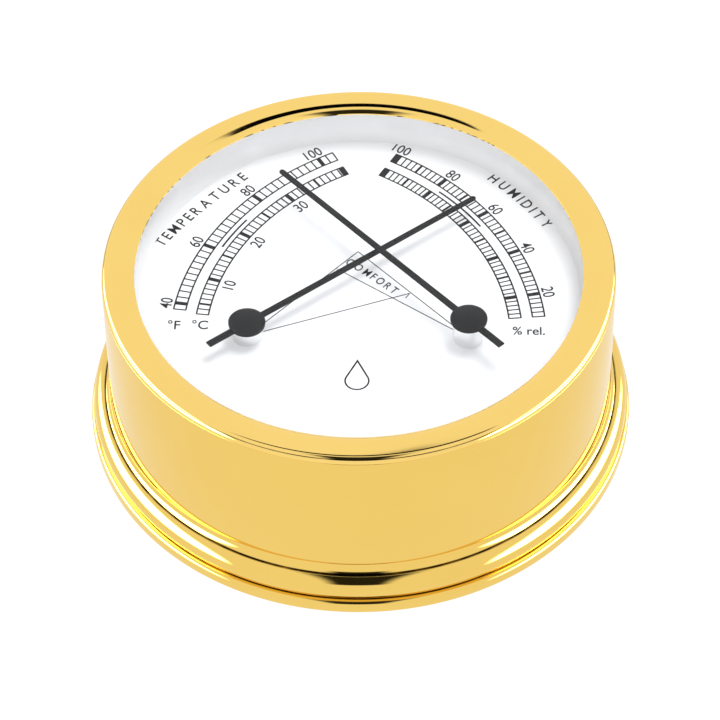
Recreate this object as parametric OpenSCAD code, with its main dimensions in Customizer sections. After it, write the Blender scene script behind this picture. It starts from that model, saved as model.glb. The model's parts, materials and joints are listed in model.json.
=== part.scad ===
// Dial hygrometer with a thermometer beside it, in a polished brass drum.
// Lies on its back, dial up. Origin at the centre of the base. Millimetres.

/* [Case] */
// Diameter of the base moulding
base_d = 120; // [118:0.5:126]
// Height from the base to the top of the bezel
case_h = 44.5; // [43:0.5:60]
// Diameter of the straight drum wall
wall_d = 110.9; // [110:0.1:112]
// Wall thickness of the drum behind the dial
wall_t = 2.55; // [2:0.05:3]

/* [Bezel and glass] */
// Diameter of the opening in the bezel
opening_d = 96.7; // [94:0.1:98]
// Thickness of the glass
glass_t = 1.4; // [1.2:0.1:1.5]
// Depth of the dial below the bezel's top
dial_depth = 9.7; // [9.6:0.1:12]

/* [Pointers] */
// Distance between the two pointer axes
axis_span = 47.5; // [46:0.5:49]
// How far the pointer axes lie below the dial's centre
axis_drop = 12.1; // [10:0.1:14]
// Direction of the humidity pointer, anticlockwise from the right
humidity_angle = 38.4; // [20:0.1:60]
// Direction of the temperature pointer, anticlockwise from the right
temperature_angle = 133; // [120:0.1:170]
// Reach of the humidity pointer from its axis
humidity_reach = 62.4; // [55:0.1:63]
// Reach of the temperature pointer from its axis
temperature_reach = 61.4; // [55:0.1:63]

/* [Movement] */
// Turns in each coil
coil_turns = 5.5; // [3.5:1:6.5]
// Width of the coil strips
coil_w = 5; // [3:0.5:5]

/* [Hidden] */
$fn = 96;

// Finishes
brass = "#e6c25a";
dull_brass = "#b8963f";
steel = "#b9bcc0";
black = "#1c1c1e";
white = "#f2f3f5";

// Case heights and radii
base_r = base_d / 2;
wall_r = wall_d / 2;
bore_r = wall_r - wall_t;
seat_bore_r = wall_r - 1.5;
rim_h = 3.2;
rim_top_round = 0.9;
rim_foot_round = 0.8;
bead_h = 5.5;
bead_top = rim_h + bead_h;
bead_r = 3.37;
bead_centre = [base_r - 4.12, 5.44];
// Where the hollow meets the moulding, the fine turned line over the hollow, and the arc
// that fills its run and its rise
flare_r = bead_centre[0] + sqrt(pow(bead_r, 2) - pow(bead_top - bead_centre[1], 2));
cove_line = 0.04;
cove_run = flare_r - wall_r - cove_line;
cove_rise = 2.25;
cove_r = (pow(cove_run, 2) + pow(cove_rise, 2)) / (2 * cove_run);
cove_start = bead_top + cove_rise;
// Narrow ledge on top of the moulding, at the foot of the hollow
quirk = 0.3;
bezel_joint = case_h - 1.45;
glass_top = case_h - 1.2;
glass_low = glass_top - glass_t;
dial_top = case_h - dial_depth;
dial_t = 0.8;
dial_low = dial_top - dial_t;
seat_h = 2.5;
seal_t = 0.5;

// Back cover
cover_low = 1;
cover_t = 1.5;
cover_r = 52;
cover_top = cover_low + cover_t;
lip_t = 2;
lip_r = 47;
cover_screw_pcr = 49.6;
keyhole_y = 38;
keyhole_r = 4.5;
keyhole_slot = 4.4;
keyhole_rise = 5.5;
access_r = 4;
vent_r = 1.6;

// Pointer axes and their heights above the dial
axis_x = axis_span / 2;
axis_y = -axis_drop;
humidity_post_h = 3.35;
temperature_post_h = 5.15;
blade_gap = 0.35;
blade_t = 0.35;
cap_r = 4;
post_r = 3.3;
spigot_r = 2.5;
arbor_r = 0.6;
bearing_r = 0.62;
humidity_cap_t = 1.05;
temperature_cap_t = 0.95;

// Movement behind the dial
plate_low = 19;
plate_t = 1.2;
plate_top = plate_low + plate_t;
hub_r = 5;
hub_low = plate_low - 2.6;
regulator_disc_r = 8;
regulator_t = 1;
regulator_low = plate_top + 0.1;
anchor_reach = 13.2;
anchor_r = 1;
coil_low = 22.5;
coil_strip = 0.35;
coil_start_r = 2.85;
coil_end_r = anchor_reach - anchor_r - coil_strip / 2 - 0.025;
collet_r = 2.6;
pillar_r = 2.5;
pillar_at = [[0, 9.5], [0, -9.5], [40, 0], [-40, 0]];

// Whether a spot on the back cover is clear of both adjuster openings
function clear_of_access(spot) =
    min([for (side = [-1, 1]) norm(spot - [side * axis_x, axis_y])]) > access_r + vent_r + 1;

// A flat ring between two heights
module ring(outer_r, inner_r, low, high) {
    rotate_extrude()
        translate([inner_r, low])
            square([outer_r - inner_r, high - low]);
}

// A plain round bar between two heights
module bar(r, low, high) {
    translate([0, 0, low]) cylinder(r = r, h = high - low);
}

module at_axis(side) {
    translate([side * axis_x, axis_y, 0]) children();
}

// ---- Case ----

// Rounded rim at the very foot of the case
module rim_profile() {
    union() {
        square([base_r - rim_top_round, rim_h]);
        translate([0, rim_foot_round])
            square([base_r, rim_h - rim_foot_round - rim_top_round]);
        square([base_r - rim_foot_round, rim_foot_round]);
        translate([base_r - rim_foot_round, rim_foot_round]) circle(rim_foot_round);
        translate([base_r - rim_top_round, rim_h - rim_top_round]) circle(rim_top_round);
    }
}

// Convex moulding above the rim
module bead_profile() {
    intersection() {
        translate(bead_centre) circle(bead_r);
        translate([bead_centre[0] - 2, rim_h]) square([20, bead_h]);
    }
}

// Hollow that sweeps from the moulding up into the wall
module cove_profile() {
    difference() {
        translate([bore_r, bead_top])
            square([flare_r - quirk - bore_r, cove_start - bead_top]);
        translate([wall_r + cove_line + cove_r, cove_start]) circle(cove_r);
    }
}

module case_drum() {
    lip_top = cover_top + lip_t;
    color(brass)
    difference() {
        rotate_extrude()
            difference() {
                union() {
                    rim_profile();
                    bead_profile();
                    cove_profile();
                    square([wall_r, bezel_joint]);
                }
                translate([-1, -1]) square([cover_r + 1.1, cover_top + 1]);
                square([lip_r, lip_top]);
                translate([0, lip_top]) square([bore_r, case_h]);
                translate([0, dial_low - seat_h]) square([seat_bore_r, case_h]);
            }
        for (turn = [45:90:315])
            rotate(turn)
                translate([cover_screw_pcr, 0, 0])
                    bar(1.25, cover_top - 1, lip_top + 1);
    }
}

module bezel() {
    roll_r = 5.2;
    roll_start = opening_d / 2 + 2.85;
    edge_round = case_h - bezel_joint;
    spigot_low = dial_top + 3.2;
    color(brass)
    rotate_extrude()
        difference() {
            union() {
                translate([opening_d / 2, glass_top])
                    square([wall_r - edge_round - opening_d / 2, case_h - glass_top]);
                translate([seat_bore_r - 1.25, bezel_joint])
                    square([wall_r - edge_round - seat_bore_r + 1.25, edge_round]);
                intersection() {
                    translate([wall_r - edge_round, bezel_joint]) circle(edge_round);
                    translate([wall_r - edge_round, bezel_joint]) square(edge_round);
                }
                translate([seat_bore_r - 1.25, spigot_low])
                    square([1.15, case_h - spigot_low - 0.5]);
            }
            difference() {
                translate([opening_d / 2 - 1, case_h - 0.85]) square([3.85, 1]);
                translate([roll_start, case_h - roll_r]) circle(roll_r);
            }
        }
}

module glass() {
    color("lightcyan", 0.3) bar(52.4, glass_low, glass_top);
}

module glass_seal() {
    color(white) ring(52.4, 50.2, glass_low - seal_t, glass_low);
}

module spacer_ring() {
    cove = 2.5;
    inner_r = 50.4;
    foot_t = 0.1;
    color(white)
    rotate_extrude()
        difference() {
            union() {
                translate([inner_r, dial_top])
                    square([2, glass_low - seal_t - dial_top]);
                translate([inner_r - cove, dial_top]) square([cove, cove + foot_t]);
            }
            translate([inner_r - cove, dial_top + cove + foot_t]) circle(cove);
        }
}

module dial() {
    color(white)
    difference() {
        bar(53.5, dial_low, dial_top);
        for (side = [-1, 1])
            at_axis(side) bar(spigot_r + 0.1, dial_low - 1, dial_top + 1);
    }
}

module dial_seat_ring() {
    color(dull_brass) ring(seat_bore_r - 0.05, 50, dial_low - seat_h, dial_low);
}

// ---- Back ----

module back_cover() {
    color(steel)
    difference() {
        bar(cover_r, cover_low, cover_top);
        for (turn = [45:90:315])
            rotate(turn)
                translate([cover_screw_pcr, 0, 0]) bar(1.45, 0, cover_top + 1);
        for (side = [-1, 1])
            at_axis(side) bar(access_r, 0, cover_top + 1);
        // Air holes in three rings, so that the coils feel the room
        for (row = [1:3], turn = [0:360 / (8 * row):359]) {
            spot = 9 * row * [sin(turn), cos(turn)];
            if (clear_of_access(spot))
                translate([spot[0], spot[1], 0]) bar(vent_r, 0, cover_top + 1);
        }
        translate([0, keyhole_y, 0]) bar(keyhole_r, 0, cover_top + 1);
        translate([-keyhole_slot / 2, keyhole_y, 0])
            cube([keyhole_slot, keyhole_rise, cover_top + 1]);
        translate([0, keyhole_y + keyhole_rise, 0])
            bar(keyhole_slot / 2, 0, cover_top + 1);
        for (side = [-1, 1])
            translate([side * 9, keyhole_y, 0]) bar(1, 0, cover_top + 1);
    }
}

module back_screws() {
    color(steel)
    for (turn = [45:90:315])
        rotate(turn) translate([cover_screw_pcr, 0, 0]) {
            difference() {
                bar(2.3, 0.15, cover_low);
                translate([-3, -0.3, 0]) cube([6, 0.6, 0.55]);
            }
            bar(1.25, cover_low, cover_top + lip_t);
        }
}

// Steel plate that stiffens the keyhole from inside
module hanger_plate() {
    color(dull_brass)
    difference() {
        translate([-12, keyhole_y - 7.5, cover_top]) cube([24, 14, 1]);
        translate([0, keyhole_y, 0]) bar(keyhole_r, cover_top - 1, cover_top + 2);
        translate([-keyhole_slot / 2, keyhole_y, cover_top - 1])
            cube([keyhole_slot, keyhole_rise + 3, 3]);
        for (side = [-1, 1])
            translate([side * 9, keyhole_y, 0]) bar(1, cover_top - 1, cover_top + 2);
    }
}

module hanger_rivets() {
    color(steel)
    for (side = [-1, 1])
        translate([side * 9, keyhole_y, 0]) {
            bar(1.7, cover_low - 0.6, cover_low);
            bar(1, cover_low, cover_top + 1);
            bar(1.7, cover_top + 1, cover_top + 1.6);
        }
}

// ---- Movement ----

module movement_plate() {
    color(steel)
    difference() {
        translate([0, axis_y, plate_low]) union() {
            translate([-46, -6.5, 0]) cube([92, 13, plate_t]);
            translate([-6, -14.5, 0]) cube([12, 29, plate_t]);
            for (side = [-1, 1])
                translate([side * axis_x, 0, 0]) cylinder(r = 12, h = plate_t);
        }
        for (side = [-1, 1])
            at_axis(side) bar(hub_r + 0.05, plate_low - 1, plate_top + 1);
        for (spot = pillar_at)
            translate([spot[0], axis_y + spot[1], 0]) bar(1.4, plate_low - 1, plate_top + 1);
    }
}

module movement_pillars() {
    color(dull_brass)
    for (spot = pillar_at)
        translate([spot[0], axis_y + spot[1], 0])
            difference() {
                bar(pillar_r, plate_top, dial_low);
                bar(1.25, plate_top - 1, plate_top + 7);
            }
}

module plate_screws() {
    color(steel)
    for (spot = pillar_at)
        translate([spot[0], axis_y + spot[1], 0]) {
            difference() {
                bar(2.6, plate_low - 1.4, plate_low);
                translate([-3, -0.35, plate_low - 2]) cube([6, 0.7, 1.2]);
            }
            bar(1.25, plate_low, plate_top + 6);
        }
}

// Flanged bearing bush that stands on the dial and holds the arbor
module post(height) {
    edge = 0.6;
    color(steel)
    difference() {
        union() {
            rotate_extrude()
                union() {
                    translate([0, dial_top]) square([post_r, height - edge]);
                    translate([0, dial_top]) square([post_r - edge, height]);
                    translate([post_r - edge, dial_top + height - edge]) circle(edge);
                }
            bar(spigot_r, dial_low - 3.4, dial_top);
        }
        bar(bearing_r, dial_low - 5, dial_top + height + 1);
    }
}

module post_nut() {
    color(dull_brass)
    difference() {
        translate([0, 0, dial_low - 1.8]) cylinder(r = 4.6, h = 1.8, $fn = 6);
        bar(spigot_r, dial_low - 3, dial_low + 1);
    }
}

// Slotted hub that turns in the plate; its arm carries the coil's outer end
module regulator(arm_angle) {
    color(dull_brass)
    difference() {
        union() {
            bar(hub_r, hub_low, regulator_low);
            bar(regulator_disc_r, regulator_low, regulator_low + regulator_t);
            rotate(arm_angle)
                translate([0, -2, regulator_low])
                    cube([anchor_reach + 1.6, 4, regulator_t]);
        }
        bar(bearing_r, hub_low + 1.4, regulator_low + regulator_t + 1);
        translate([-hub_r - 1, -0.6, hub_low - 1]) cube([2 * hub_r + 2, 1.2, 2.2]);
    }
}

module regulator_clip() {
    color(steel)
    difference() {
        bar(7, plate_low - 1, plate_low - 0.1);
        bar(hub_r, plate_low - 2, plate_low);
        translate([0, -1.5, plate_low - 2]) cube([10, 3, 3]);
    }
}

module anchor_pin(arm_angle) {
    color(dull_brass)
    rotate(arm_angle)
        translate([anchor_reach, 0, 0])
            bar(anchor_r, regulator_low + regulator_t, coil_low + coil_w + 0.5);
}

// Spiral strip from the collet out to the anchor pin
module coil(arm_angle, tint) {
    steps = 20 * coil_turns;
    function spiral(i, offset) =
        let (turn = 360 * coil_turns * i / steps,
             r = coil_start_r + (coil_end_r - coil_start_r) * i / steps + offset)
        [r * cos(turn), r * sin(turn)];
    last = 360 * coil_turns;
    color(tint)
    rotate(arm_angle - last)
        translate([0, 0, coil_low])
            linear_extrude(coil_w)
                polygon(concat(
                    [for (i = [0:steps]) spiral(i, coil_strip / 2)],
                    [for (i = [steps:-1:0]) spiral(i, -coil_strip / 2)]));
}

module collet() {
    color(dull_brass)
    difference() {
        bar(collet_r, coil_low - 0.6, coil_low + coil_w + 0.6);
        bar(arbor_r, coil_low - 2, coil_low + coil_w + 2);
    }
}

module arbor(top) {
    color(steel) bar(arbor_r, hub_low + 1.5, top);
}

// Blade with a round boss, a tapered arm with a round tip and a square tail
module pointer(low, angle, reach) {
    root_w = 1.5;
    tip_w = 1.25;
    tail = 10.2;
    tail_w = 1.6;
    color(black)
    translate([0, 0, low])
        rotate(angle)
            linear_extrude(blade_t)
                difference() {
                    union() {
                        circle(cap_r - 0.05);
                        polygon([[0, -root_w / 2], [reach - tip_w / 2, -tip_w / 2],
                                 [reach - tip_w / 2, tip_w / 2], [0, root_w / 2]]);
                        translate([reach - tip_w / 2, 0]) circle(tip_w / 2);
                        translate([-tail, -tail_w / 2]) square([tail, tail_w]);
                    }
                    circle(arbor_r);
                }
}

// Domed cap that hides the end of the arbor
module cap(low, height) {
    dome_r = 12;
    side = 0.5;
    hollow_r = 1.4;
    color(black)
    translate([0, 0, low])
        rotate_extrude()
            difference() {
                intersection() {
                    square([cap_r, height]);
                    translate([0, height - dome_r]) circle(dome_r);
                }
                square([hollow_r, side]);
            }
}

humidity_blade_low = dial_top + humidity_post_h + blade_gap;
temperature_blade_low = dial_top + temperature_post_h + blade_gap;
humidity_arm = 250;
temperature_arm = 290;

module humidity_post() at_axis(-1) post(humidity_post_h);
module humidity_post_nut() at_axis(-1) post_nut();
module humidity_regulator() at_axis(-1) regulator(humidity_arm);
module humidity_regulator_clip() at_axis(-1) regulator_clip();
module humidity_anchor_pin() at_axis(-1) anchor_pin(humidity_arm);
module humidity_coil() at_axis(-1) coil(humidity_arm, "#c9b48a");
module humidity_collet() at_axis(-1) collet();
module humidity_arbor() at_axis(-1) arbor(humidity_blade_low + blade_t + 0.3);
module humidity_pointer() at_axis(-1) pointer(humidity_blade_low, humidity_angle, humidity_reach);
module humidity_cap() at_axis(-1) cap(humidity_blade_low + blade_t, humidity_cap_t);

module temperature_post() at_axis(1) post(temperature_post_h);
module temperature_post_nut() at_axis(1) post_nut();
module temperature_regulator() at_axis(1) regulator(temperature_arm);
module temperature_regulator_clip() at_axis(1) regulator_clip();
module temperature_anchor_pin() at_axis(1) anchor_pin(temperature_arm);
module temperature_coil() at_axis(1) coil(temperature_arm, "#a9a18f");
module temperature_collet() at_axis(1) collet();
module temperature_arbor() at_axis(1) arbor(temperature_blade_low + blade_t + 0.3);
module temperature_pointer()
    at_axis(1) pointer(temperature_blade_low, temperature_angle, temperature_reach);
module temperature_cap() at_axis(1) cap(temperature_blade_low + blade_t, temperature_cap_t);

case_drum();
bezel();
glass();
glass_seal();
spacer_ring();
dial();
dial_seat_ring();
movement_plate();
movement_pillars();
plate_screws();
back_cover();
back_screws();
hanger_plate();
hanger_rivets();
humidity_post();
humidity_post_nut();
humidity_regulator();
humidity_regulator_clip();
humidity_anchor_pin();
humidity_coil();
humidity_collet();
humidity_arbor();
humidity_pointer();
humidity_cap();
temperature_post();
temperature_post_nut();
temperature_regulator();
temperature_regulator_clip();
temperature_anchor_pin();
temperature_coil();
temperature_collet();
temperature_arbor();
temperature_pointer();
temperature_cap();
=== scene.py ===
"""Dial hygrometer with a thermometer beside it, in a polished brass drum.

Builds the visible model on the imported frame, and the studio that it stands in.
Sizes in the dataclasses are millimetres; meshes are metres.
"""

import json
import logging
import math
from dataclasses import dataclass
from enum import Enum

import bmesh
import bpy
from mathutils import Matrix, Vector

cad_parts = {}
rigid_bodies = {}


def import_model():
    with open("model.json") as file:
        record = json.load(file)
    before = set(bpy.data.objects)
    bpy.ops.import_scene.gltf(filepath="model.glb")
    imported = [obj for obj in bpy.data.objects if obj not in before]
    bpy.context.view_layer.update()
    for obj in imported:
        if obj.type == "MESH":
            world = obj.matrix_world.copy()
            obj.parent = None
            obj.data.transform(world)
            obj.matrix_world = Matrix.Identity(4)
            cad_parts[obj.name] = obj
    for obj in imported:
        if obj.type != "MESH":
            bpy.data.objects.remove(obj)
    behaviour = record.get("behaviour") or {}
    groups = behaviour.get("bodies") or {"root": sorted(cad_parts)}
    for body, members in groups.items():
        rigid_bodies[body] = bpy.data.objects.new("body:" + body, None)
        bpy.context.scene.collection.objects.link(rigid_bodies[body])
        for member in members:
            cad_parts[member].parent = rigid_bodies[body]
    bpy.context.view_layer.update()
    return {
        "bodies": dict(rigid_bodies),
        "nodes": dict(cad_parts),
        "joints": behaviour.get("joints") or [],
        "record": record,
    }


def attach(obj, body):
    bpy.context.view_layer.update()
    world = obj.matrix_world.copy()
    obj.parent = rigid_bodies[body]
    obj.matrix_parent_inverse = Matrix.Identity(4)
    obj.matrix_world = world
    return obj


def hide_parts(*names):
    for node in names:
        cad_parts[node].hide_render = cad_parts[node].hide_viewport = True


MM = 0.001
log = logging.getLogger("hygrometer")
Point = tuple[float, float]


# ---------------------------------------------------------------- mesh helpers


def arc(centre: Point, radius: float, start: float, stop: float, steps: int) -> list[Point]:
    """Points on an arc.

    Args:
        centre: The arc's centre.
        radius: Its radius.
        start: First direction in degrees.
        stop: Last direction in degrees.
        steps: Number of chords.

    Returns:
        steps + 1 points, both ends among them.
    """
    turns = (math.radians(start + (stop - start) * i / steps) for i in range(steps + 1))
    return [(centre[0] + radius * math.cos(t), centre[1] + radius * math.sin(t)) for t in turns]


def rounded(points: list[Point], radius: float, steps: int = 3) -> list[Point]:
    """Rounds each right corner of a closed profile a little.

    Args:
        points: The closed profile.
        radius: Length cut from each side of a corner.
        steps: Chords in each rounded corner.

    Returns:
        The profile with its sharp corners broken.
    """
    out: list[Point] = []
    count = len(points)
    for i, here in enumerate(points):
        before, after = Vector(points[i - 1]), Vector(points[(i + 1) % count])
        a, b = before - Vector(here), after - Vector(here)
        bend = abs(a.angle(b, math.pi) - math.pi)
        if bend < math.radians(35) or min(a.length, b.length) < 2.2 * radius:
            out.append(here)
            continue
        first = Vector(here) + a.normalized() * radius
        last = Vector(here) + b.normalized() * radius
        for k in range(steps + 1):
            t = k / steps
            spot = first * (1 - t) ** 2 + Vector(here) * 2 * t * (1 - t) + last * t * t
            out.append((spot.x, spot.y))
    return out


def place(name: str, mesh: bpy.types.Mesh) -> bpy.types.Object:
    """Puts a mesh into the scene as an object at the origin.

    Args:
        name: The object's name.
        mesh: Its mesh.

    Returns:
        The new object.
    """
    piece = bpy.data.objects.new(name, mesh)
    bpy.context.scene.collection.objects.link(piece)
    return piece


def from_bmesh(name: str, work: bmesh.types.BMesh) -> bpy.types.Object:
    """Turns a bmesh in millimetres into a placed object in metres.

    Args:
        name: The object's name.
        work: The bmesh, freed here.

    Returns:
        The new object.
    """
    bmesh.ops.scale(work, vec=(MM, MM, MM), verts=work.verts)
    mesh = bpy.data.meshes.new(name)
    work.to_mesh(mesh)
    work.free()
    return place(name, mesh)


def lathe(name: str, profile: list[Point], segments: int = 256, axis: Point = (0.0, 0.0)) -> bpy.types.Object:
    """Turns a closed profile about a vertical axis.

    Args:
        name: The object's name.
        profile: Radius and height of each corner, in either direction.
        segments: Facets round the axis.
        axis: Where the axis stands.

    Returns:
        A closed piece, smooth but for its real corners.
    """
    count = len(profile)
    area = sum(profile[i - 1][0] * profile[i][1] - profile[i][0] * profile[i - 1][1] for i in range(count))
    if area < 0:
        profile = profile[::-1]
    work = bmesh.new()
    rings = []
    for radius, height in profile:
        if radius < 1e-9:
            rings.append([work.verts.new((axis[0], axis[1], height))] * segments)
            continue
        turns = (2 * math.pi * k / segments for k in range(segments))
        rings.append(
            [
                work.verts.new((axis[0] + radius * math.cos(t), axis[1] + radius * math.sin(t), height))
                for t in turns
            ]
        )
    sharp = []
    for i in range(count):
        a, b = Vector(profile[i]) - Vector(profile[i - 1]), Vector(profile[(i + 1) % count]) - Vector(profile[i])
        sharp.append(a.length > 1e-9 and b.length > 1e-9 and a.angle(b) > math.radians(28))
    for i in range(count):
        low, high = rings[i], rings[(i + 1) % count]
        if low[0] is low[1] and high[0] is high[1]:
            continue
        for k in range(segments):
            corners = [low[k], low[(k + 1) % segments], high[(k + 1) % segments], high[k]]
            face = work.faces.new(list(dict.fromkeys(corners)))
            face.smooth = True
    for i, ring in enumerate(rings):
        if sharp[i] and ring[0] is not ring[1]:
            for k in range(segments):
                edge = work.edges.get((ring[k], ring[(k + 1) % segments]))
                if edge:
                    edge.smooth = False
    return from_bmesh(name, work)


def prism(work: bmesh.types.BMesh, outline: list[Point], low: float, high: float) -> None:
    """Adds a flat closed prism to a bmesh.

    Args:
        work: The bmesh to add to.
        outline: Corners, anticlockwise.
        low: Height of its underside.
        high: Height of its top.
    """
    bottom = [work.verts.new((x, y, low)) for x, y in outline]
    top = [work.verts.new((x, y, high)) for x, y in outline]
    work.faces.new(bottom[::-1])
    work.faces.new(top)
    for i in range(len(outline)):
        j = (i + 1) % len(outline)
        work.faces.new((bottom[i], bottom[j], top[j], top[i]))


def arc_strip(
    work: bmesh.types.BMesh,
    centre: Point,
    inner: float,
    outer: float,
    start: float,
    stop: float,
    low: float,
    high: float,
) -> None:
    """Adds a thin curved strip between two radii.

    Args:
        work: The bmesh to add to.
        centre: Centre of both arcs.
        inner: Inner radius.
        outer: Outer radius.
        start: Smaller direction in degrees.
        stop: Larger direction in degrees.
        low: Height of its underside.
        high: Height of its top.
    """
    steps = max(8, int(abs(stop - start) * 1.2))
    outside, inside = arc(centre, outer, start, stop, steps), arc(centre, inner, start, stop, steps)
    rows = [
        [work.verts.new((x, y, z)) for x, y in line]
        for line, z in ((outside, low), (outside, high), (inside, high), (inside, low))
    ]
    for k in range(steps):
        for r in range(4):
            here, following = rows[r], rows[(r + 1) % 4]
            work.faces.new((here[k], here[k + 1], following[k + 1], following[k]))
    work.faces.new([rows[r][0] for r in range(4)])
    work.faces.new([rows[3 - r][-1] for r in range(4)])


def line_strip(
    work: bmesh.types.BMesh,
    start: Point,
    stop: Point,
    width: float,
    low: float,
    high: float,
) -> None:
    """Adds a straight printed line.

    Args:
        work: The bmesh to add to.
        start: One end.
        stop: The other end.
        width: Line width.
        low: Height of its underside.
        high: Height of its top.
    """
    along = (Vector(stop) - Vector(start)).normalized()
    side = Vector((-along.y, along.x)) * width / 2
    corners = [Vector(start) - side, Vector(stop) - side, Vector(stop) + side, Vector(start) + side]
    prism(work, [(c.x, c.y) for c in corners], low, high)


# ------------------------------------------------------------- turned copies


@dataclass(frozen=True)
class TurnedCopies:
    """Geometry Nodes tree that sets equal copies of a mesh round a centre."""

    name: str = "turned_copies"

    def tree(self) -> bpy.types.NodeTree:
        """The tree, built on first use.

        Returns:
            The node tree with its named inputs.
        """
        found = bpy.data.node_groups.get(self.name)
        if found:
            return found
        tree = bpy.data.node_groups.new(self.name, "GeometryNodeTree")
        face = tree.interface
        face.new_socket("Geometry", in_out="INPUT", socket_type="NodeSocketGeometry")
        for label, kind in (
            ("Count", "NodeSocketInt"),
            ("First", "NodeSocketFloat"),
            ("Step", "NodeSocketFloat"),
            ("Centre", "NodeSocketVector"),
            ("Finish", "NodeSocketMaterial"),
        ):
            face.new_socket(label, in_out="INPUT", socket_type=kind)
        face.new_socket("Geometry", in_out="OUTPUT", socket_type="NodeSocketGeometry")
        nodes, links = tree.nodes, tree.links
        entry, leave = nodes.new("NodeGroupInput"), nodes.new("NodeGroupOutput")
        points = nodes.new("GeometryNodePoints")
        index = nodes.new("GeometryNodeInputIndex")
        angle = nodes.new("ShaderNodeMath")
        angle.operation = "MULTIPLY_ADD"
        spin = nodes.new("ShaderNodeCombineXYZ")
        copies = nodes.new("GeometryNodeInstanceOnPoints")
        real = nodes.new("GeometryNodeRealizeInstances")
        paint = nodes.new("GeometryNodeSetMaterial")
        links.new(entry.outputs["Count"], points.inputs["Count"])
        links.new(entry.outputs["Centre"], points.inputs["Position"])
        links.new(index.outputs["Index"], angle.inputs[0])
        links.new(entry.outputs["Step"], angle.inputs[1])
        links.new(entry.outputs["First"], angle.inputs[2])
        links.new(angle.outputs[0], spin.inputs["Z"])
        links.new(points.outputs[0], copies.inputs["Points"])
        links.new(entry.outputs["Geometry"], copies.inputs["Instance"])
        links.new(spin.outputs[0], copies.inputs["Rotation"])
        links.new(copies.outputs[0], real.inputs[0])
        links.new(real.outputs[0], paint.inputs["Geometry"])
        links.new(entry.outputs["Finish"], paint.inputs["Material"])
        links.new(paint.outputs[0], leave.inputs[0])
        return tree

    def bake(
        self,
        name: str,
        part: bpy.types.Object,
        count: int,
        first: float,
        step: float,
        centre: Point,
        finish: bpy.types.Material,
    ) -> bpy.types.Object:
        """Sets copies of a part round a centre and makes them one plain mesh.

        Args:
            name: Name of the result.
            part: One copy, placed as seen from the centre; used up here.
            count: How many copies.
            first: Direction of the first, in degrees.
            step: Degrees from one to the next.
            centre: The centre in millimetres.
            finish: Material of the copies.

        Returns:
            The baked object.
        """
        tree = self.tree()
        modifier = part.modifiers.new(self.name, "NODES")
        modifier.node_group = tree
        values = {
            "Count": count,
            "First": math.radians(first),
            "Step": math.radians(step),
            "Centre": (centre[0] * MM, centre[1] * MM, 0.0),
            "Finish": finish,
        }
        for socket in tree.interface.items_tree:
            if socket.in_out == "INPUT" and socket.name in values:
                modifier[socket.identifier] = values[socket.name]
        part.update_tag()
        bpy.context.view_layer.update()
        graph = bpy.context.evaluated_depsgraph_get()
        mesh = bpy.data.meshes.new_from_object(part.evaluated_get(graph), depsgraph=graph)
        bpy.data.objects.remove(part)
        return place(name, mesh)


COPIES = TurnedCopies()


# -------------------------------------------------------------------- finishes


class Wiring:
    """Adds and joins the nodes of one tree."""

    def __init__(self, tree: bpy.types.NodeTree) -> None:
        """Keeps the tree."""
        self.tree = tree

    def add(self, kind: str, values: dict | None = None, **settings: object) -> bpy.types.Node:
        """Adds a node.

        Args:
            kind: The node's type.
            values: Default values of its inputs, by name or index.
            **settings: Properties of the node.

        Returns:
            The node.
        """
        node = self.tree.nodes.new(kind)
        for key, value in settings.items():
            setattr(node, key, value)
        for key, value in (values or {}).items():
            node.inputs[key].default_value = value
        return node

    def join(self, source: bpy.types.NodeSocket, target: bpy.types.NodeSocket) -> None:
        """Links two sockets."""
        self.tree.links.new(source, target)


def shader_group(
    name: str,
    inputs: list[tuple[str, str, object]],
    outputs: list[tuple[str, str]],
) -> tuple[bpy.types.NodeTree, Wiring, bpy.types.Node, bpy.types.Node]:
    """Starts a shader node group.

    Args:
        name: The group's name.
        inputs: Label, socket type and default value of each input.
        outputs: Label and socket type of each output.

    Returns:
        The tree, its wiring, and its input and output nodes.
    """
    tree = bpy.data.node_groups.new(name, "ShaderNodeTree")
    for label, kind, value in inputs:
        socket = tree.interface.new_socket(label, in_out="INPUT", socket_type=kind)
        if value is not None:
            socket.default_value = value
    for label, kind in outputs:
        tree.interface.new_socket(label, in_out="OUTPUT", socket_type=kind)
    wires = Wiring(tree)
    return tree, wires, wires.add("NodeGroupInput"), wires.add("NodeGroupOutput")


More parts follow.
